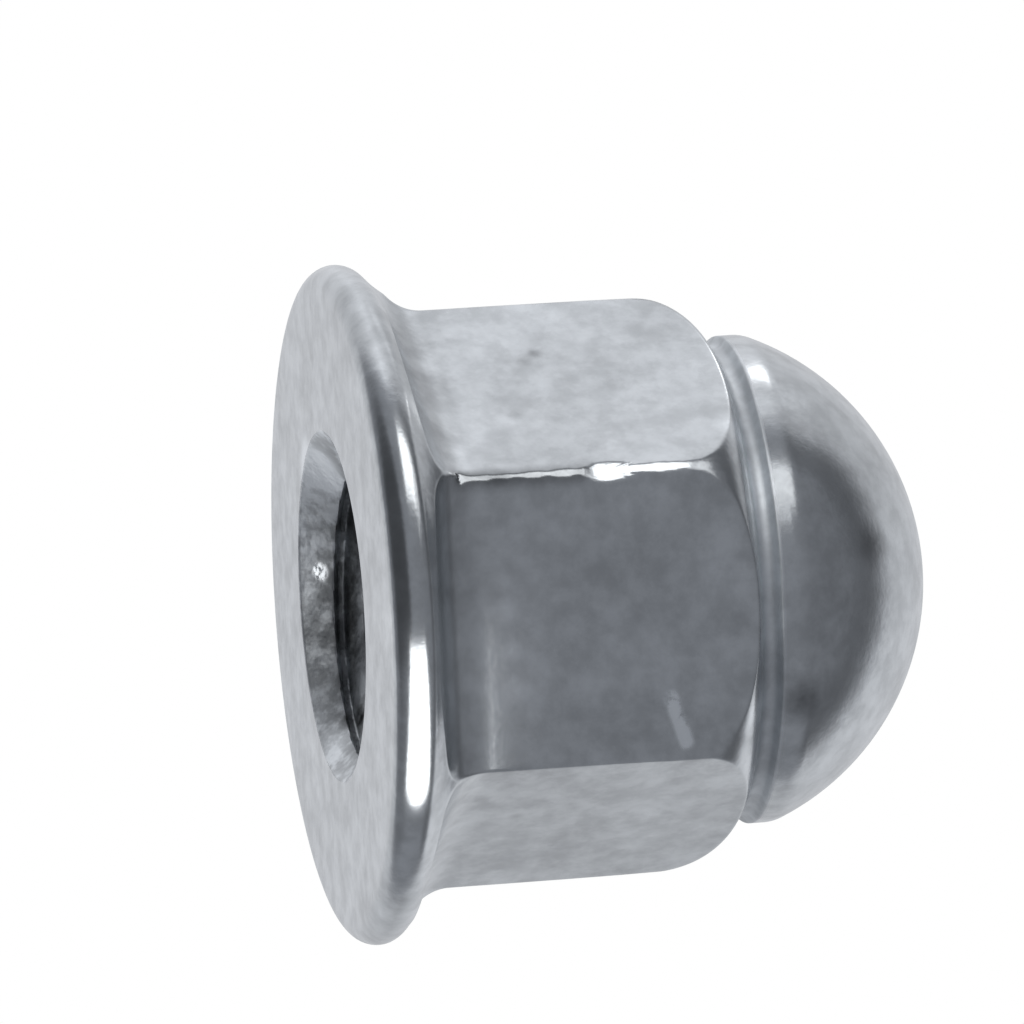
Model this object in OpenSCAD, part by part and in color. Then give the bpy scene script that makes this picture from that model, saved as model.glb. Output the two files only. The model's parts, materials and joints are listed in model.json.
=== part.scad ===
// Flanged cap nut, M8 coarse: a hexagon for a 13 mm spanner, a washer-like flange under it
// and a closed dome over the end of the thread. One cold-formed piece of steel.
// Millimetres. The nut stands on its flange: Z runs up the thread's axis, and the origin is
// the centre of the bearing face.

/* [Thread] */
// Nominal diameter of the metric thread
thread_d = 8; // [6:0.5:9]
// Pitch of the thread
thread_pitch = 1.25; // [0.75:0.05:1.5]
// Depth of the tapped hole at full width, from the bearing face
bore_depth = 11; // [8:0.25:12]
// Full angle of the cone that the drill leaves at the bottom of the hole
drill_angle = 118; // [90:2:140]
// Diameter of the countersunk mouth in the bearing face
mouth_d = 9; // [8.5:0.1:10.5]
// Full angle of the countersink
mouth_angle = 90; // [60:5:120]

/* [Hexagon] */
// Width across the flats
flats_w = 13; // [12.8:0.1:14]
// Height at which the rounded end starts at the corners, from the bearing face
corner_h = 8.15; // [7.5:0.05:8.5]
// Diameter over the six corners where the rounded end starts
corner_d = 14.88; // [14.3:0.02:14.92]
// Angle by which the corners widen towards the flange
corner_taper = 0.5; // [0.3:0.1:3]
// Radius of the rounded end, from the corners in to the groove
end_round = 2; // [1.4:0.1:2.1]
// Fillet between each flat and the flange
flat_fillet = 1.35; // [0.5:0.05:1.5]

/* [Flange] */
// Diameter of the flange
flange_d = 17.5; // [17:0.1:19]
// Radius of the full round of the rim, from the bearing face to the top of the flange
rim_round = 0.6; // [0.4:0.05:0.65]
// Height of the top of the flange where its slope meets the flats
flange_h = 1.68; // [1.6:0.02:1.72]
// Slope of the top of the flange, rising towards the hexagon
flange_slope = 15; // [8:1:20]
// Height at which the sweep up from the flange runs into each corner of the hexagon
sweep_h = 3.4; // [2.8:0.1:4]

/* [Dome] */
// Diameter of the shoulder under the dome
shoulder_d = 12.6; // [12.2:0.05:12.8]
// Radius of the rounding between the shoulder and the dome
shoulder_round = 1; // [0.4:0.1:1.6]
// Radius of the groove between the rounded end and the shoulder
groove_r = 0.25; // [0.1:0.05:0.35]
// Radius of the dome
dome_r = 6.75; // [6.6:0.05:8]
// Height of the nut, from the bearing face to the top of the dome
nut_h = 15.4; // [15.4:0.1:17]

/* [Hidden] */
$fn = 128;
steel = "#9aa1a8";

// Radius of the hole before tapping, which is the crest radius of the finished thread:
// five eighths of the height of the 60-degree thread triangle lie outside it
thread_h = thread_pitch * sqrt(3) / 2;
bore_r = thread_d / 2 - 5 / 8 * thread_h;
drill_tip_h = bore_r / tan(drill_angle / 2);
mouth_r = mouth_d / 2;
mouth_h = (mouth_r - bore_r) / tan(mouth_angle / 2);

// The rim is one arc, which starts at the edge of the bearing face
rim_r = flange_d / 2;
face_r = rim_r - rim_round;

// The rounded end is an arc about a point level with corner_h, and it runs in to the radius
// of the shoulder at neck_z
flat_r = flats_w / 2;
corner_r = corner_d / 2;
shoulder_r = shoulder_d / 2;
end_centre_r = corner_r - end_round;
neck_z = corner_h + sqrt(pow(end_round, 2) - pow(shoulder_r - end_centre_r, 2));

// The centre of each flat's fillet, which touches the flat and the slope under it
fillet_r = flat_r + flat_fillet;
fillet_z = flange_h - flat_fillet * tan(flange_slope) + flat_fillet / cos(flange_slope);

// The sweep is an arc that touches the rim's arc and ends upright at sweep_h, where the
// tapered corners start
sweep_r = corner_r + (corner_h - sweep_h) * tan(corner_taper);
sweep_in = face_r - sweep_r;
sweep_up = sweep_h - rim_round;
sweep_round = (pow(sweep_in, 2) + pow(sweep_up, 2) - pow(rim_round, 2)) / 2
              / (rim_round + sweep_in);
sweep_centre_r = sweep_r + sweep_round;

// The dome's sphere, the arc that blends it into the shoulder, and their joint, which lies
// on the line through both centres
dome_z = nut_h - dome_r;
blend_r = shoulder_r - shoulder_round;
blend_z = dome_z + sqrt(pow(dome_r - shoulder_round, 2) - pow(blend_r, 2));
joint_r = blend_r * dome_r / (dome_r - shoulder_round);
joint_z = dome_z + (blend_z - dome_z) * dome_r / (dome_r - shoulder_round);

// Outline of the turned blank, from the axis out: the rim's arc, the sweep up to the tapered
// corners, and the rounded end
module blank_outline() {
    square([face_r, rim_round]);
    translate([face_r, rim_round])
        circle(r = rim_round);
    difference() {
        polygon([[0, 0], [face_r, rim_round], [sweep_centre_r, sweep_h], [sweep_r, sweep_h],
                 [corner_r, corner_h], [0, corner_h]]);
        translate([sweep_centre_r, sweep_h])
            circle(r = sweep_round);
    }
    square([end_centre_r, neck_z]);
    intersection() {
        translate([end_centre_r, corner_h])
            circle(r = end_round);
        translate([end_centre_r, corner_h])
            square([end_round, neck_z - corner_h]);
    }
}

// Half the nut's outline across two opposite flats: the slope of the flange's top, the
// fillet and the flat
module flat_outline() {
    reach = rim_r + rim_round;
    slope_end = flange_h - (reach - flat_r) * tan(flange_slope);
    difference() {
        polygon([[0, 0], [reach, 0], [reach, slope_end],
                 [fillet_r - flat_fillet * sin(flange_slope),
                  fillet_z - flat_fillet * cos(flange_slope)],
                 [fillet_r, fillet_z], [flat_r, fillet_z], [flat_r, neck_z], [0, neck_z]]);
        translate([fillet_r, fillet_z])
            circle(r = flat_fillet);
    }
}

// Outline of the closed end: shoulder, rounded blend and dome
module dome_outline() {
    square([shoulder_r, blend_z]);
    intersection() {
        translate([blend_r, blend_z])
            circle(r = shoulder_round);
        polygon([[0, blend_z], [shoulder_r, blend_z], [shoulder_r, joint_z],
                 [joint_r, joint_z], [0, joint_z]]);
    }
    intersection() {
        translate([0, dome_z])
            circle(r = dome_r);
        polygon([[0, blend_z], [blend_r, blend_z], [joint_r, joint_z],
                 [dome_r, nut_h], [0, nut_h]]);
    }
}

// The hexagon on its flange, before the blank's outline trims it: where the outlines
// across the three pairs of flats cross
module wrench_form() {
    intersection_for(turn = [0, 60, 120])
        rotate([90, 0, turn + 30])
            linear_extrude(2 * flange_d, center = true) {
                flat_outline();
                mirror([1, 0])
                    flat_outline();
            }
}

// Blind hole for the thread: countersunk mouth, straight wall and the drill's cone
module tapped_hole() {
    rotate_extrude()
        polygon([[0, -mouth_r], [mouth_r + mouth_r * tan(mouth_angle / 2), -mouth_r],
                 [mouth_r, 0], [bore_r, mouth_h], [bore_r, bore_depth],
                 [0, bore_depth + drill_tip_h]]);
}

module cap_nut() {
    color(steel)
        difference() {
            union() {
                intersection() {
                    wrench_form();
                    rotate_extrude()
                        blank_outline();
                }
                rotate_extrude()
                    difference() {
                        dome_outline();
                        translate([shoulder_r, neck_z + groove_r])
                            circle(r = groove_r);
                    }
            }
            tapped_hole();
        }
}

cap_nut();
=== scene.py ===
"""Looks of the flanged cap nut: its detailed body with a real thread, its zinc-plated
finish, a plain studio and the camera. Sizes are in millimetres up to the mesh itself,
which is in metres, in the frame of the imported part: the nut stands on its flange, +Z runs
up the thread's axis, and +X passes through a corner of the hexagon."""

import json
import math
from collections import namedtuple

import bpy
import numpy as np
from mathutils import Matrix, Vector


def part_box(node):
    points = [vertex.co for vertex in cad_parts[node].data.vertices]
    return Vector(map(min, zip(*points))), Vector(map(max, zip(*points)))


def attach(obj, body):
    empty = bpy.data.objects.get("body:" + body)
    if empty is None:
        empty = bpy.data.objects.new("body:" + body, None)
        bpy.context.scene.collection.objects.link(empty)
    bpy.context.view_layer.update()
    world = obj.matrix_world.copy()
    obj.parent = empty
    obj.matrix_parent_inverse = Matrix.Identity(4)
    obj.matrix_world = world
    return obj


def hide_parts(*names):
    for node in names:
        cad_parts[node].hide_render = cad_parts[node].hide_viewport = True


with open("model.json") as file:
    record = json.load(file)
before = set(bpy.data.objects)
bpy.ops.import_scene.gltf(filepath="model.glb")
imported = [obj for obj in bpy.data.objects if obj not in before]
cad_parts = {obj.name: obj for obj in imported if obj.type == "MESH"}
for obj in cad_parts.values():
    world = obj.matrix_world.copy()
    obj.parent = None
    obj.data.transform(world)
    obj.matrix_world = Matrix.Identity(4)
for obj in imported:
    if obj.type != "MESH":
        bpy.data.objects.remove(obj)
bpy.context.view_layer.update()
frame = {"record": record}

NODE = "cap_nut"
MM = 0.001
DEG = math.pi / 180
SECTOR = 60 * DEG        # one flat of the hexagon, seen from the axis
HALF = SECTOR / 2

# ---------------------------------------------------------------- sizes, in millimetres

low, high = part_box(NODE)
rim_r = (high.x - low.x) / MM / 2
nut_h = high.z / MM
bore = next(m for m in frame["record"]["mounts"] if m["name"] == "thread")
crest_r = bore["dims"]["r_mm"]

flat_r = 6.5             # half the width across the flats
corner_h = 8.15          # height at which the rounded end starts at the corners
corner_r = 7.44          # radius over the corners there
corner_taper = 0.5 * DEG  # by which the corners widen towards the flange
end_round = 2.0          # from the corners in to the groove
flat_fillet = 1.35       # between each flat and the flange
rim_round = 0.6          # from the bearing face to the top of the rim
flange_h = 1.68          # top of the flange where its slope meets the flats
flange_slope = 15 * DEG
sweep_h = 3.4            # height at which the sweep up from the rim meets the corners
shoulder_r = 6.3
shoulder_round = 1.0     # between the shoulder and the dome
groove_r = 0.25
dome_r = 6.75
mouth_r = 4.5
bore_depth = 11.0
drill_angle = 118 * DEG  # of the whole cone
pitch = 1.25

# Arcs and joints of the outline, worked out as the part's source does
face_r = rim_r - rim_round
end_centre_r = corner_r - end_round
neck_z = corner_h + math.sqrt(end_round ** 2 - (shoulder_r - end_centre_r) ** 2)
groove_top = neck_z + 2 * groove_r
fillet_r = flat_r + flat_fillet
fillet_z = flange_h + flat_fillet * (1 / math.cos(flange_slope) - math.tan(flange_slope))
slope_end_z = fillet_z - flat_fillet * math.cos(flange_slope)
sweep_r = corner_r + (corner_h - sweep_h) * math.tan(corner_taper)
sweep_in = face_r - sweep_r
sweep_round = (sweep_in ** 2 + (sweep_h - rim_round) ** 2 - rim_round ** 2) / 2 \
    / (rim_round + sweep_in)
sweep_centre_r = sweep_r + sweep_round
touch_angle = math.atan2(sweep_h - rim_round, sweep_centre_r - face_r)
touch_z = rim_round + rim_round * math.sin(touch_angle)
dome_z = nut_h - dome_r
blend_r = shoulder_r - shoulder_round
blend_z = dome_z + math.sqrt((dome_r - shoulder_round) ** 2 - blend_r ** 2)
tip_z = bore_depth + crest_r / math.tan(drill_angle / 2)

# Soft edges, as plating leaves them. An edge is about how far the crease is rounded off.
corner_round = 0.22      # radius of the hexagon's corners
flange_edge = 0.010      # round the foot of the flats
strip_edge = 0.006       # along the corners
end_edge = 0.022         # where the flats meet the rounded end
worn_edge = 0.010        # of the knocked corner
mouth_edge = 0.012       # where the thread runs out into the countersink
mouth_lip = 0.03         # width of the mouth's edge on the bearing face
groove_turn = 160 * DEG  # angle of the groove's arc, which leaves off short of the shoulder
lip_round = 0.06         # radius of the shoulder's edge over the groove
lip_rise = 0.02          # from the top of the groove to the start of that radius
crease_angle = 35 * DEG  # above which the mesh keeps an edge sharp

# Rows of faces over each stretch of the outline. The strip is where the taper trims one of
# the corners, below the rounded end.
face_rows = 4
rim_rows = 18
sweep_rows = 9
fillet_rows = 18
flat_rows = 80
strip_rows = 8
end_rows = 16
groove_rows = 8
lip_rows = 4
shoulder_rows = 5
blend_rows = 10
dome_rows = 30
drill_rows = 6
sweep_lean = 1.4         # above 1: the rows are closer together at one end of the stretch
fillet_lean = 1.3
end_lean = 1.4
strip_h = 0.08           # least height of the strip
half_columns = 24        # columns over half a flat
column_lean = 0.88       # above 0: they are closer together at the corners


def soft_min(a, b, edge):
    """The lower of a and b, with the crease between them rounded off by about edge."""
    return (a + b) / 2 - np.sqrt((a - b) ** 2 + 4 * edge * edge) / 2


def soft_max(a, b, edge):
    """The higher of a and b, with the crease rounded off in the same way."""
    return -soft_min(-a, -b, edge)


def arc_r(z, centre_r, centre_z, radius, side):
    """Radius at height z of an arc about (centre_r, centre_z), outside (1) or inside (-1)."""
    return centre_r + side * np.sqrt(np.maximum(radius ** 2 - (z - centre_z) ** 2, 0))


# ------------------------------------------------------------------- outside of the nut

def blank_r(z):
    """Radius of the turned blank: the rim, the sweep, the tapered corners, the end."""
    rim = arc_r(np.minimum(z, touch_z), face_r, rim_round, rim_round, 1)
    sweep = arc_r(np.clip(z, touch_z, sweep_h), sweep_centre_r, sweep_h, sweep_round, -1)
    taper = corner_r + (corner_h - z) * math.tan(corner_taper)
    end = arc_r(np.maximum(z, corner_h), end_centre_r, corner_h, end_round, 1)
    return np.select([z < touch_z, z < sweep_h, z < corner_h], [rim, sweep, taper], end)


def across_flat(z):
    """Distance of the wrench surface from the axis, along the flat's normal."""
    slope = flat_r + (flange_h - z) / math.tan(flange_slope)
    fillet = arc_r(np.clip(z, slope_end_z, fillet_z), fillet_r, fillet_z, flat_fillet, -1)
    return np.where(z < slope_end_z, slope, fillet)


def hexagon_r(apothem, off):
    """Radius of a hexagon with rounded corners, at an angle off from a flat's normal."""
    centre = (apothem - corner_round) / math.cos(HALF)
    from_corner = HALF - np.abs(off)
    swing = centre * np.sin(from_corner)
    rounded = centre * np.cos(from_corner) + np.sqrt(
        np.maximum(corner_round ** 2 - swing ** 2, 0))
    start = math.tan(HALF) * corner_round
    near = np.tan(from_corner) * apothem / math.cos(HALF) < start
    return np.where(near & (swing < corner_round), rounded, apothem / np.cos(off))


# One corner has been knocked: flattened at one place and ragged on both sides of it. Each
# point is a height and the depth of the facet there.
worn_azimuth = 240 * DEG
worn_reach = 12 * DEG    # of the facet, on each side of the corner
worn_from_z = 2.2        # height at which the facet starts
worn_points = [(2.2, 0.01), (2.7, 0.05), (3.0, 0.06), (3.15, 0.02), (3.5, 0.05), (3.7, 0.02),
               (4.0, 0.06), (4.35, 0.065), (4.5, 0.03), (4.75, 0.07), (5.1, 0.08),
               (5.3, 0.05), (5.5, 0.07), (5.7, 0.15), (6.1, 0.175), (6.5, 0.15),
               (6.75, 0.08), (7.0, 0.07), (7.4, 0.09), (7.9, 0.08), (8.2, 0.01)]


def worn_swing(azimuth):
    """Angle from the knocked corner."""
    return np.abs(np.mod(azimuth - worn_azimuth + math.pi, 2 * math.pi) - math.pi)


def worn_r(z, azimuth):
    """Radius left at the knocked corner by a flat facet of a depth that changes along it."""
    depth = np.interp(z, *zip(*worn_points))
    swing = worn_swing(azimuth)
    facet = (flat_r / math.cos(HALF) - depth) / np.cos(np.minimum(swing, SECTOR))
    return np.where(swing < worn_reach, facet, 2 * rim_r)


def body_r(z, off, azimuth):
    """Radius of the flange and hexagon at height z, at an angle off from a flat's normal.
    The soft edge changes from one kind to the next over a short height."""
    edge = np.interp(z, [fillet_z, fillet_z + 1, corner_h - 1, corner_h + 0.5],
                     [flange_edge, strip_edge, strip_edge, end_edge])
    whole = soft_min(hexagon_r(across_flat(z), off), blank_r(z), edge)
    worn = soft_min(whole, worn_r(z, azimuth), worn_edge)
    return np.where(z > worn_from_z, worn, whole)


def flange_crossing(off):
    """Height at which the blank's outline runs into the wrench surface."""
    halvings = 40
    below, above = np.full_like(off, touch_z), np.full_like(off, fillet_z)
    for _ in range(halvings):
        middle = (below + above) / 2
        outside = across_flat(middle) / np.cos(off) > blank_r(middle)
        below, above = np.where(outside, middle, below), np.where(outside, above, middle)
    return (below + above) / 2


def ease(count, lean):
    """Steps from 0 to 1, without the 0, that are finer near 0 where lean is above 1."""
    return (np.arange(1, count + 1) / count) ** lean


def column_azimuths():
    """Azimuths of the columns, closest together at the corners of the hexagon."""
    share = np.arange(half_columns) / half_columns
    rise = HALF * ((1 - column_lean) * share + column_lean * share ** 2)
    sector = np.concatenate([rise, SECTOR - np.append(rise[1:], HALF)[::-1]])
    return (np.arange(6)[:, None] * SECTOR + sector).ravel()


def body_heights(off, azimuth):
    """Heights of the rows of the flange and hexagon, each with a height for each column."""
    crossing = flange_crossing(off)
    rows = [np.zeros_like(off)]
    for angle in -90 * DEG + ease(rim_rows, 1) * (touch_angle + 90 * DEG):
        rows.append(np.full_like(off, rim_round + rim_round * math.sin(angle)))
    back = ease(sweep_rows, sweep_lean)
    for share in 1 - back[::-1] + back[0]:
        rows.append(touch_z + (crossing - touch_z) * share)
    rows[-1] = crossing

    start_x = across_flat(crossing)
    corner_x = fillet_r - flat_fillet * math.sin(flange_slope)
    slope_length = np.maximum(start_x - corner_x, 0) / math.cos(flange_slope)
    first_angle = np.arcsin(np.clip((fillet_r - np.minimum(start_x, corner_x))
                                    / flat_fillet, 0, 1))
    arc_length = (90 * DEG - first_angle) * flat_fillet
    for share in ease(fillet_rows, fillet_lean):
        along = share * (slope_length + arc_length)
        on_slope = crossing + along * math.sin(flange_slope)
        angle = first_angle + (along - slope_length) / flat_fillet
        on_arc = fillet_z - flat_fillet * np.cos(angle)
        rows.append(np.where(along < slope_length, on_slope, on_arc))
    rows[-1] = np.full_like(off, fillet_z)

    hex_r = hexagon_r(flat_r, off)
    end_rise = arc_r(np.minimum(hex_r - end_centre_r, end_round), 0, 0, end_round, 1)
    end_start = corner_h + end_rise
    strip_start = corner_h - (hex_r - corner_r) / math.tan(corner_taper)
    strip_start = np.clip(strip_start, fillet_z + 1, end_start - strip_h)
    strip_start = np.where(worn_swing(azimuth) < worn_reach, end_start - strip_h, strip_start)
    for share in ease(flat_rows, 1):
        rows.append(fillet_z + (strip_start - fillet_z) * share)
    for share in ease(strip_rows, 1):
        rows.append(strip_start + (end_start - strip_start) * share)
    first = np.arcsin(np.clip(end_rise / end_round, 0, 1))
    last = math.asin((neck_z - corner_h) / end_round)
    for share in ease(end_rows, end_lean):
        rows.append(corner_h + end_round * np.sin(first + (last - first) * share))
    return np.array(rows)


def turn_rows():
    """Points (radius, height) of the turned end, from the groove to just under the top."""
    points = []
    for angle in ease(groove_rows, 1) * groove_turn:
        points.append((shoulder_r - groove_r * math.sin(angle),
                       neck_z + groove_r * (1 - math.cos(angle))))
    lip_z = groove_top + lip_rise
    for angle in ease(lip_rows, 1) * 90 * DEG:
        points.append((shoulder_r - lip_round * (1 - math.sin(angle)),
                       lip_z + lip_round * (1 - math.cos(angle))))
    edge_z = lip_z + lip_round
    for share in ease(shoulder_rows, 1):
        points.append((shoulder_r, edge_z + (blend_z - edge_z) * share))
    joint = math.atan2(blend_z - dome_z, blend_r)
    for angle in ease(blend_rows, 1) * joint:
        points.append((blend_r + shoulder_round * math.cos(angle),
                       blend_z + shoulder_round * math.sin(angle)))
    for share in ease(dome_rows, 1)[:-1]:
        angle = joint + share * (90 * DEG - joint)
        points.append((dome_r * math.cos(angle), dome_z + dome_r * math.sin(angle)))
    return points


# -------------------------------------------------------------------------- tapped hole

flank_angle = 30 * DEG   # of each side of the thread
thread_depth = 5 / 8 * pitch * math.sqrt(3) / 2     # five eighths of the full triangle
thread_turn = 0.45       # azimuth of the root at the bearing face, as a share of a turn
root_half = pitch / 16   # half the width of the flat at the root
runout = 1.2             # height over which the thread fades out below the drill's cone
seen_depth = 2.4         # depth to which the mouth shows the hole's wall
seen_step = 0.03         # between the rows there
deep_rows = 105


def hole_r(z, azimuth):
    """Radius of the tapped hole: countersink, right-hand thread and its runout."""
    turn = z / pitch - azimuth / (2 * math.pi) + thread_turn
    from_root = np.abs(turn - np.round(turn)) * pitch
    flank = thread_depth * math.tan(flank_angle)
    share = np.clip((root_half + flank - from_root) / flank, 0, 1)
    fade = np.clip((bore_depth - z) / runout, 0, 1)
    thread = crest_r + thread_depth * share * fade
    return soft_max(thread, mouth_r - z, mouth_edge)


def hole_heights():
    """Heights of the rows of the hole, close where the mouth shows them."""
    near = np.arange(seen_step, seen_depth, seen_step)
    deep = np.linspace(seen_depth, bore_depth, deep_rows)
    return np.concatenate([near, deep])


# --------------------------------------------------------------------------------- mesh

class Grid:
    """Collects rings of points about the axis and the faces between them."""

    def __init__(self):
        self.points = []
        self.faces = []

    def ring(self, radius, z, azimuths):
        """A ring of points, one at each azimuth. Returns their numbers."""
        start = len(self.points)
        radius = np.broadcast_to(radius, azimuths.shape)
        z = np.broadcast_to(z, azimuths.shape)
        self.points += list(zip(radius * np.cos(azimuths), radius * np.sin(azimuths), z))
        return list(range(start, len(self.points)))

    def join(self, first, second):
        """Faces from one ring to the next one out or up."""
        count = len(first)
        for i in range(count):
            j = (i + 1) % count
            self.faces.append((first[i], first[j], second[j], second[i]))

    def join_double(self, inner, outer):
        """Faces from a ring out to one with twice as many points, both facing down."""
        count = len(inner)
        for i in range(count):
            j = (i + 1) % count
            left, middle, right = outer[2 * i], outer[2 * i + 1], outer[2 * j]
            self.faces.append((inner[i], middle, left))
            self.faces.append((inner[i], inner[j], middle))
            self.faces.append((inner[j], right, middle))

    def cap(self, ring, z, upward):
        """Faces from a ring to a point on the axis at height z."""
        tip = len(self.points)
        self.points.append((0.0, 0.0, z))
        for i in range(len(ring)):
            pair = (ring[i], ring[(i + 1) % len(ring)])
            self.faces.append((*pair, tip) if upward else (*pair[::-1], tip))


def add_outside(grid, azimuths):
    """The flange, the hexagon, the shoulder and the dome. Returns their first ring."""
    off = np.mod(azimuths, SECTOR) - HALF
    rings = []
    for z in body_heights(off, azimuths):
        rings.append(grid.ring(body_r(z, off, azimuths), z, azimuths))
    for radius, z in turn_rows():
        rings.append(grid.ring(radius, z, azimuths))
    for first, second in zip(rings, rings[1:]):
        grid.join(first, second)
    grid.cap(rings[-1], nut_h, True)
    return rings[0]


def add_hole(grid, azimuths):
    """The tapped hole and the drill's cone. Returns the ring round its mouth."""
    rings = [grid.ring(mouth_r + mouth_lip, 0.0, azimuths)]
    for z in hole_heights():
        rings.append(grid.ring(hole_r(np.full_like(azimuths, z), azimuths), z, azimuths))
    for share in ease(drill_rows, 1)[:-1]:
        z = bore_depth + (tip_z - bore_depth) * share
        rings.append(grid.ring(crest_r * (1 - share), z, azimuths))
    for first, second in zip(rings, rings[1:]):
        grid.join(second, first)
    grid.cap(rings[-1], tip_z, False)
    return rings[0]


def add_bearing_face(grid, mouth, rim, azimuths):
    """The flat ring from the mouth of the hole out to the rim."""
    rings = [mouth]
    for share in ease(face_rows, 1)[:-1]:
        rings.append(grid.ring(mouth_r + (face_r - mouth_r) * share, 0.0, azimuths))
    for first, second in zip(rings, rings[1:]):
        grid.join(first[::-1], second[::-1])
    grid.join_double(rings[-1], rim)


def build_nut():
    """The whole nut as one closed mesh."""
    grid = Grid()
    azimuths = column_azimuths()
    coarse = azimuths[::2]
    rim = add_outside(grid, azimuths)
    mouth = add_hole(grid, coarse)
    add_bearing_face(grid, mouth, rim, coarse)

    mesh = bpy.data.meshes.new(NODE + "_finished")
    mesh.from_pydata([Vector(p) * MM for p in grid.points], [], grid.faces)
    mesh.validate()
    mesh.shade_smooth()
    mesh.set_sharp_from_angle(angle=crease_angle)
    piece = bpy.data.objects.new(NODE + "_finished", mesh)
    bpy.context.scene.collection.objects.link(piece)
    return piece


# ------------------------------------------------------------------------- shader nodes

class Nodes:
    """Adds nodes to a node tree. What a method returns can be an input of the next."""

    def __init__(self, tree):
        self.tree = tree

    def add(self, kind, inputs=None, **settings):
        """A node with its settings, and its inputs set or linked."""
        made = self.tree.nodes.new("ShaderNode" + kind)
        for name, value in settings.items():
            setattr(made, name, value)
        for name, value in (inputs or {}).items():
            if isinstance(value, bpy.types.NodeSocket):
                self.tree.links.new(value, made.inputs[name])
            else:
                made.inputs[name].default_value = value
        return made

    def calc(self, operation, first, second=0.0, third=0.0):
        """The result of a math operation on numbers."""
        return self.add("Math", {0: first, 1: second, 2: third},
                        operation=operation).outputs[0]

    def product(self, first, *others):
        """All of them multiplied together."""
        for other in others:
            first = self.calc("MULTIPLY", first, other)
        return first

    def plus(self, base, value, share=1.0):
        """base plus value, or plus a share of it."""
        return self.calc("MULTIPLY_ADD", value, share, base)

    def step(self, value, start, end, low=0.0, high=1.0):
        """low up to start, high from end on, and a smooth rise or fall between them."""
        return self.add("MapRange", {"Value": value, 1: start, 2: end, 3: low, 4: high},
                        interpolation_type="SMOOTHSTEP").outputs[0]

    def blend(self, share, first, second):
        """first where share is 0 and second where it is 1."""
        return self.add("Mix", {0: share, 2: first, 3: second}).outputs[0]

    def blend_colour(self, share, first, second):
        """The same for two colours."""
        return self.add("Mix", {0: share, 6: first, 7: second},
                        data_type="RGBA").outputs[2]

    def scaled(self, vector, scale):
        """A vector or colour, multiplied by a number."""
        return self.add("VectorMath", {0: vector, "Scale": scale},
                        operation="SCALE").outputs["Vector"]

    def dot(self, first, second):
        """The dot product of two vectors."""
        return self.add("VectorMath", {0: first, 1: second},
                        operation="DOT_PRODUCT").outputs["Value"]

    def distance(self, first, second):
        """The distance between two points."""
        return self.add("VectorMath", {0: first, 1: second},
                        operation="DISTANCE").outputs["Value"]

    def noise(self, place, scale, detail):
        """Cloudy noise around 0.5; its clouds are about 1 / scale across."""
        return self.add("TexNoise", {"Vector": place, "Scale": scale, "Detail": detail,
                                     "Roughness": 0.6}).outputs["Fac"]

    def streak(self, place, start, end, half_width):
        """1 on the line from start to end, falling to 0 at half_width from it."""
        run = Vector(end) - Vector(start)
        from_start = self.add("VectorMath", {0: place, 1: start},
                              operation="SUBTRACT").outputs["Vector"]
        share = self.dot(from_start, run / run.length_squared)
        share = self.calc("MINIMUM", self.calc("MAXIMUM", share, 0.0), 1.0)
        foot = self.scaled(run, share)
        return self.step(self.distance(from_start, foot), half_width, 0.0)


# ----------------------------------------------------------------- zinc, in millimetres

zinc_colour = (0.61, 0.635, 0.655)
most_shade = 1.5             # at which the colour is nearly white

# Mottle and bumps. Each noise is given by its scale per millimetre and its detail.
fine_noise = (1.4, 5)
fine_share = 0.11            # by how much the fine mottle lightens and darkens the metal
broad_noise = (0.45, 3)
broad_share = 0.09
mottle_span = (0.3, 0.7)     # values of either noise between which the mottle changes
face_rough = (0.25, 0.21)    # roughness where the fine mottle is dark, and where it is light
bump_noise = (5.2, 3)
bump_height = 0.004          # of the fine bumps on every face

# The hole has painted shade, darker with depth, and is more mottled and rougher
hole_dark_z = 0.9            # depth from which it is darkest
hole_depth_painted_shade = (0.1, -0.42)    # how much lighter it is at its mouth, and from that depth on
hole_span = (0.42, 0.6)      # values of the fine noise between which its mottle changes
hole_mottle = (-0.1, 0.3)    # how much lighter its mottle makes it at those two values
hole_rough = 0.18            # how much rougher it is than the faces
hole_bump_noise = (2.2, 2)
hole_bump_height = 0.04      # of the coarser bumps that it has too

# Dark marks, and spots of painted highlight (above 0) and painted shade (below 0) on the
# faces, the dome and the hole: centre, radius, and how much lighter the middle is
painted_light_and_marks = [((-1.1, -6.5, 3.2), 0.45, 0.2), ((-0.3, -6.5, 3.3), 0.5, 0.25),
         ((0.7, -6.5, 3.4), 0.4, 0.15), ((1.7, -6.5, 3.5), 0.5, 0.22),
         ((-6.4, -2.0, 5.2), 0.3, -0.35), ((-6.2, -2.2, 4.9), 0.35, -0.2),
         ((-5.0, -4.3, 4.2), 0.35, -0.25), ((-5.3, -3.7, 3.1), 0.7, 0.1),
         ((4.7, -5.0, 2.7), 0.35, -0.25), ((5.3, -3.9, 3.8), 0.3, -0.25),
         ((-6.9, -1.7, 2.2), 1.1, -0.25), ((-6.0, -3.2, 2.1), 1.1, -0.25),
         ((-4.9, -4.9, 2.0), 1.0, -0.2), ((-1.2, -4.8, 13.2), 0.9, -0.55),
         ((2.6, -5.8, 11.0), 0.9, -0.5), ((-8.1, -2.6, 0.1), 1.3, -0.15),
         ((-4.4, -5.1, 9.7), 0.8, 0.5), ((2.8, -6.1, 9.7), 0.9, 0.5),
         ((-3.2, 2.5, 0.3), 1.3, 1.4), ((3.7, 1.8, 0.3), 1.0, 0.5),
         ((3.1, 2.1, 0.8), 0.7, -0.45)]

# A nick in the plating, drawn as a painted highlight along it: its two ends and half its
# width
nick_highlight_line = ((2.2, -6.5, 7.45), (3.35, -6.5, 7.8), 0.28)
nick_noise = (2.5, 3)        # which breaks it up
nick_span = (0.3, 0.55)
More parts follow.
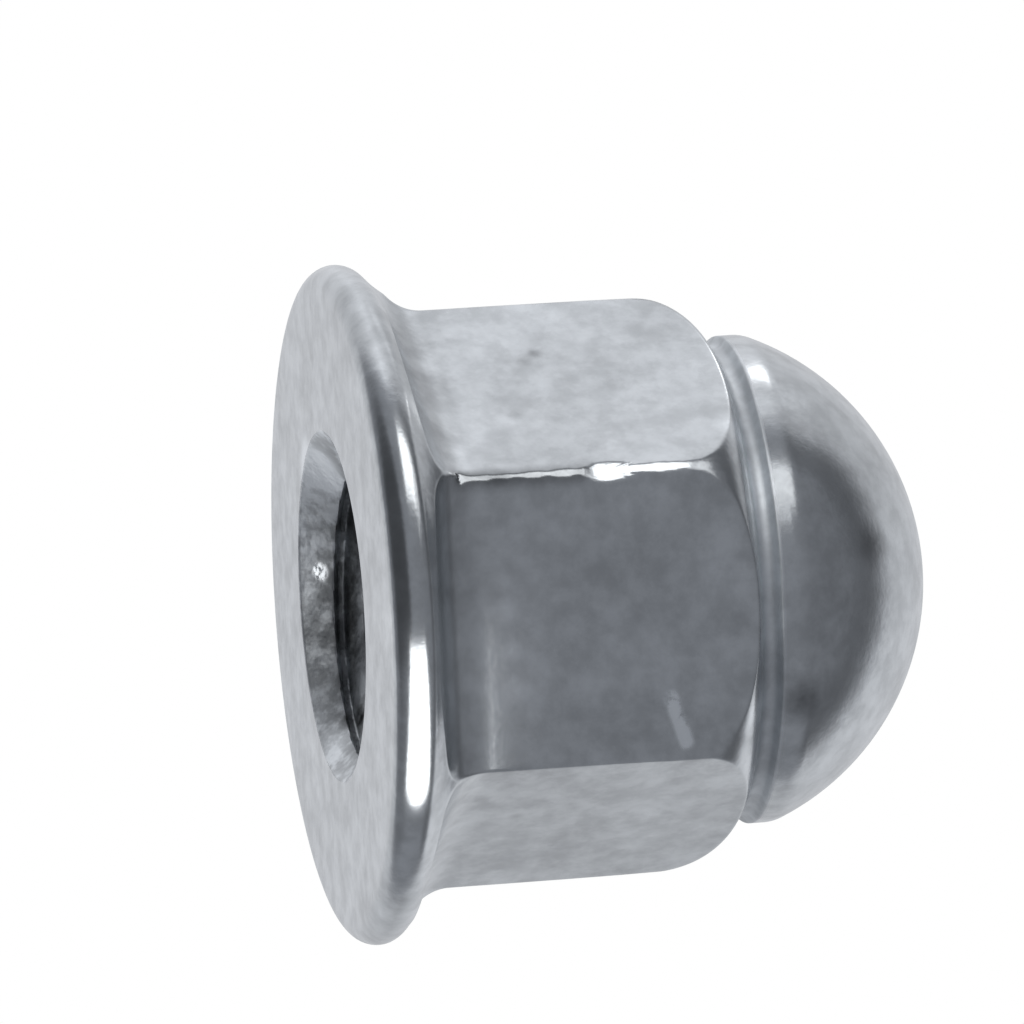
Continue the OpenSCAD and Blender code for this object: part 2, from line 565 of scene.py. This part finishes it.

# Painted shade along the knocked corner, which dims its highlight there, given by its ends
# and half its width too
corner_painted_shade_line = ((-3.7, -6.45, 1.9), (-3.7, -6.45, 5.3), 0.45)

# A smoother spot at the mouth of the hole, which reflects the mouth lamp, with a painted
# highlight on it: its centre, its radius, and the share of it that has the full strength
painted_glint_spot = ((-0.5, 4.0, 0.5), 0.34, 0.4)

# How much lighter and how much rougher each of these is than the faces. The lighter and
# darker colour is painted light: highlights on the nick and the glint, shade along the
# corner, and light in the groove's dark hollow
effects = {"nick_highlight": (1.1, 0.25), "corner_painted_shade": (-0.5, 0.0), "groove": (0.12, 0.3),
           "painted_glint": (0.5, -0.3)}


def zinc_masks(nodes, place, radius, z):
    """Masks by name: each is 1 in its region of the nut and fades to 0 close round it."""
    hole = nodes.product(nodes.step(radius, mouth_r + 0.04, mouth_r),
                         nodes.step(z, tip_z, tip_z - 0.5))
    groove = nodes.product(nodes.step(z, neck_z - 0.1, neck_z),
                           nodes.step(z, groove_top + 0.15, groove_top + 0.05),
                           nodes.step(radius, shoulder_r + 0.3, shoulder_r + 0.1))
    broken = nodes.step(nodes.noise(place, *nick_noise), *nick_span)
    centre, reach, full = painted_glint_spot
    painted_glint = nodes.step(nodes.distance(place, centre), reach, reach * full)
    return {"hole": hole, "groove": groove, "corner_painted_shade": nodes.streak(place, *corner_painted_shade_line),
            "nick_highlight": nodes.product(nodes.streak(place, *nick_highlight_line), broken), "painted_glint": painted_glint}


def zinc():
    """Bright zinc: mottled metal with marks, painted highlights and painted shade; rougher
    and painted lighter in the groove, rougher and with painted shade in the hole.
    """
    material = bpy.data.materials.new("zinc_plated_steel")
    material.use_nodes = True
    nodes = Nodes(material.node_tree)
    place = nodes.scaled(nodes.add("TexCoord").outputs["Object"], 1 / MM)
    x, y, z = nodes.add("SeparateXYZ", {0: place}).outputs
    radius = nodes.calc("SQRT", nodes.plus(nodes.product(x, x), nodes.product(y, y)))
    masks = zinc_masks(nodes, place, radius, z)
    hole = masks["hole"]
    fine = nodes.noise(place, *fine_noise)
    broad = nodes.noise(place, *broad_noise)

    # The shade multiplies the zinc's colour
    shade = nodes.plus(
        nodes.step(fine, *mottle_span, 1 - fine_share, 1 + fine_share),
        nodes.step(broad, *mottle_span, -broad_share, broad_share))
    for centre, reach, share in painted_light_and_marks:
        away = nodes.distance(place, centre)
        shade = nodes.plus(shade, nodes.step(away, reach, 0.0, 0.0, share))
    # Painted shade in the hole: a little lighter at its mouth and darker deeper in, plus its
    # mottle
    hole_painted_shade_and_mottle = nodes.plus(nodes.step(z, 0.0, hole_dark_z, *hole_depth_painted_shade),
                            nodes.step(fine, *hole_span, *hole_mottle))
    shade = nodes.plus(shade, hole, hole_painted_shade_and_mottle)
    rough = nodes.plus(nodes.step(fine, *mottle_span, *face_rough), hole, hole_rough)
    for name, (lighter, rougher) in effects.items():
        shade = nodes.plus(shade, masks[name], lighter)
        rough = nodes.plus(rough, masks[name], rougher)
    shade = nodes.calc("MINIMUM", shade, most_shade)

    relief = nodes.product(nodes.noise(place, *bump_noise), bump_height * MM)
    coarse = nodes.product(hole, nodes.noise(place, *hole_bump_noise))
    relief = nodes.plus(relief, coarse, hole_bump_height * MM)
    bump = nodes.add("Bump", {"Height": relief, "Strength": 1.0, "Distance": 1.0})

    shader = nodes.tree.nodes["Principled BSDF"]
    shader.inputs["Metallic"].default_value = 1.0
    links = nodes.tree.links
    links.new(nodes.scaled(zinc_colour, shade), shader.inputs["Base Color"])
    links.new(rough, shader.inputs["Roughness"])
    links.new(bump.outputs[0], shader.inputs["Normal"])
    return material


# ------------------------------------------------------------------------------- camera

view_azimuth = 264.0 * DEG   # direction of the camera from the nut, seen from above
view_below = 11.0 * DEG      # how far the camera stands below the bearing face
view_roll = 3.8 * DEG        # how far the axis rises to the right in the picture
view_distance = 450.0
view_lens = 615.0
aim_along = 4.87             # where the picture's centre meets the nut: up its axis,
aim_across = 2.115           # and across it towards the picture's top

# Directions of the studio from the nut: towards the camera's side, towards the picture's
# top, and up the thread's axis
View = namedtuple("View", "near across axis")


def make_camera():
    """The camera, and the directions that the studio is given in."""
    near = Vector((math.cos(view_azimuth), math.sin(view_azimuth), 0))
    axis = Vector((0, 0, 1))
    across = near.cross(axis)
    back = near * math.cos(view_below) - axis * math.sin(view_below)
    right = axis * math.cos(view_below) + near * math.sin(view_below)
    turned_right = right * math.cos(view_roll) - across * math.sin(view_roll)
    turned_up = across * math.cos(view_roll) + right * math.sin(view_roll)
    aim = (axis * aim_along + across * aim_across) * MM
    data = bpy.data.cameras.new("camera")
    data.lens = view_lens
    data.sensor_width = 36
    data.clip_start = 0.01
    data.clip_end = 10
    camera = bpy.data.objects.new("camera", data)
    turn = Matrix((turned_right, turned_up, back)).transposed()
    camera.matrix_world = Matrix.Translation(aim + back * view_distance * MM) @ turn.to_4x4()
    bpy.context.scene.collection.objects.link(camera)
    bpy.context.scene.camera = camera
    return View(near, across, axis)


# ------------------------------------------------------------------------------- studio

side_level = 0.265           # brightness of the dark part beside the nut,
end_level = 0.2              # and beyond its two ends
black_level = 0.075          # of the black patch
pale_level = 0.73            # of the pale part, level with the nut's axis
dark_tint = (0.95, 0.985, 1.07, 1)
pale_tint = (0.985, 0.995, 1.03, 1)
white = (1, 1, 1, 1)


def make_world(view):
    """A room given by direction: dark round the camera, black beyond the flange's end, and
    pale above, behind and below. All of it shows in reflections only, because the camera
    itself sees plain white."""
    near, across, axis = view
    world = bpy.data.worlds.new("studio")
    bpy.context.scene.world = world
    world.use_nodes = True
    world.node_tree.nodes.clear()
    nodes = Nodes(world.node_tree)
    place = nodes.add("TexCoord").outputs["Generated"]

    def along(direction):
        """Cosine of the angle from a direction."""
        return nodes.dot(place, direction)

    up_axis = along(axis)
    upward = along(across)
    to_flange = nodes.calc("MAXIMUM", nodes.product(up_axis, -1.0), 0.0)
    to_dome = nodes.calc("MAXIMUM", up_axis, 0.0)
    to_end = nodes.calc("ABSOLUTE", up_axis)
    overhead = nodes.calc("MAXIMUM", nodes.calc("SUBTRACT", upward, 0.5), 0.0)

    # How near a direction is to the middle of the dark part, and where the pale part starts
    dark_middle = (near * 0.985 - across * 0.09 - axis * 0.09).normalized()
    reach = nodes.plus(along(dark_middle), to_flange, 0.3)
    reach = nodes.plus(reach, overhead, -0.9)
    pale = nodes.step(reach, math.cos(103 * DEG), math.cos(113 * DEG))

    # The dark part: darker still at its edge beyond the dome, with a black patch beyond the
    # flange
    black_middle = (near * 0.42 - axis * 0.91 + across * 0.12).normalized()
    black = nodes.product(nodes.step(along(black_middle), 0.68, 0.8),
                          nodes.step(upward, -0.4, -0.1))
    level = nodes.blend(nodes.step(to_flange, 0.45, 0.7),
                        nodes.blend(to_dome, side_level, end_level), end_level)
    edge = nodes.product(nodes.step(reach, 0.15, -0.1), nodes.step(to_dome, 0.35, 0.6))
    level = nodes.product(level, nodes.plus(1.05, edge, -0.5))
    level = nodes.blend(black, level, black_level)

    # The pale part, brighter overhead than underneath
    slant = nodes.product(upward, nodes.plus(0.3, to_end, -0.6))
    pale_part = nodes.plus(nodes.plus(slant, pale_level), to_end, -0.13)
    level = nodes.blend(pale, level, pale_part)

    # Two brighter places in it, behind the top of the picture and behind the dome
    turn = nodes.calc("ARCTAN2", upward, along(near))
    behind_top = nodes.product(nodes.step(turn, 107 * DEG, 112 * DEG),
                               nodes.step(turn, 127 * DEG, 119 * DEG),
                               nodes.step(up_axis, 0.24, 0.34),
                               nodes.step(up_axis, 0.75, 0.6))
    behind_dome = (axis * 0.83 - near * 0.5 - across * 0.25).normalized()
    level = nodes.plus(level, behind_top, 0.3)
    level = nodes.plus(level, nodes.step(along(behind_dome), 0.85, 0.97), 0.06)

    seen = nodes.add("LightPath").outputs["Is Camera Ray"]
    tint = nodes.blend_colour(pale, dark_tint, pale_tint)
    background = nodes.add("Background", {"Color": nodes.blend_colour(seen, tint, white),
                                          "Strength": nodes.blend(seen, level, 1.0)})
    nodes.add("OutputWorld", {"Surface": background.outputs[0]})


def add_lamp(name, place, directions, size, radiance):
    """An area lamp at a place, with a size along each of the first two directions. It shines
    against the third, and shows in reflections only."""
    data = bpy.data.lights.new(name, "AREA")
    data.shape = "RECTANGLE"
    data.size = size[0] * MM
    data.size_y = size[1] * MM
    data.energy = radiance * 4 * data.size * data.size_y
    lamp = bpy.data.objects.new(name, data)
    turned = Matrix(directions).transposed().to_4x4()
    lamp.matrix_world = Matrix.Translation(place * MM) @ turned
    lamp.visible_camera = False
    lamp.visible_diffuse = False
    bpy.context.scene.collection.objects.link(lamp)


def soft_box(name, view, turn, away, side_span, axis_span, radiance):
    """A lamp that faces the thread's axis from a turn about it and so far away, and spans
    side_span across the axis and axis_span along it."""
    near, across, axis = view
    out = near * math.cos(turn) + across * math.sin(turn)
    side = across * math.cos(turn) - near * math.sin(turn)
    place = out * away + side * sum(side_span) / 2 + axis * sum(axis_span) / 2
    size = (axis_span[1] - axis_span[0], side_span[1] - side_span[0])
    add_lamp(name, place, (axis, side, out), size, radiance)


def end_box(name, view, place, size, radiance):
    """A square lamp that faces up the axis; place is near, across and along it."""
    near, across, axis = view
    spot = near * place[0] + across * place[1] + axis * place[2]
    add_lamp(name, spot, (near, across, -axis), (size, size), radiance)


def make_floor():
    """A pale floor just under the nut, which only the camera sees, and only from above."""
    half = 1200.0
    z = -0.02
    mesh = bpy.data.meshes.new("floor")
    corners = [(-half, -half, z), (half, -half, z), (half, half, z), (-half, half, z)]
    mesh.from_pydata([Vector(c) * MM for c in corners], [], [(0, 1, 2, 3)])
    floor = bpy.data.objects.new("floor", mesh)
    bpy.context.scene.collection.objects.link(floor)
    material = bpy.data.materials.new("floor")
    material.use_nodes = True
    material.node_tree.nodes.clear()
    nodes = Nodes(material.node_tree)
    under = nodes.add("NewGeometry").outputs["Backfacing"]
    seen = nodes.add("LightPath").outputs["Is Camera Ray"]
    front = nodes.add("Math", {0: seen, 1: under}, operation="SUBTRACT",
                      use_clamp=True).outputs[0]
    shaded = nodes.add("BsdfDiffuse", {"Color": (0.9, 0.9, 0.9, 1)})
    glow = nodes.add("Emission", {"Color": white, "Strength": 1.0})
    pale = nodes.add("MixShader", {0: 0.5, 1: shaded.outputs[0], 2: glow.outputs[0]})
    clear = nodes.add("BsdfTransparent")
    mixed = nodes.add("MixShader", {0: front, 1: clear.outputs[0], 2: pale.outputs[0]})
    nodes.add("OutputMaterial", {"Surface": mixed.outputs[0]})
    mesh.materials.append(material)


bpy.context.scene.view_settings.view_transform = "Standard"
view = make_camera()
make_world(view)
soft_box("upper_box", view, 50 * DEG, 16, (-6.6, -1.6), (1.6, 11.0), 1.6)
soft_box("shoulder_box", view, 50 * DEG, 16, (-6.6, -1.6), (11.9, 17.5), 0.7)
soft_box("shoulder_spot", view, 84 * DEG, 10.6, (-0.9, 0.9), (11.7, 13.6), 1.5)
soft_box("shoulder_glow", view, 50 * DEG, 16, (-9.4, -6.6), (11.6, 13.6), 0.45)
soft_box("lower_box", view, -40 * DEG, 10, (-0.2, 5.9), (-1.7, 3.05), 1.8)
end_box("mouth_light", view, (-3.0, -0.5, -4.0), 1.3, 0.9)
make_floor()

nut = build_nut()
nut.data.materials.append(zinc())
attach(nut, "root")
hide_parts(NODE)
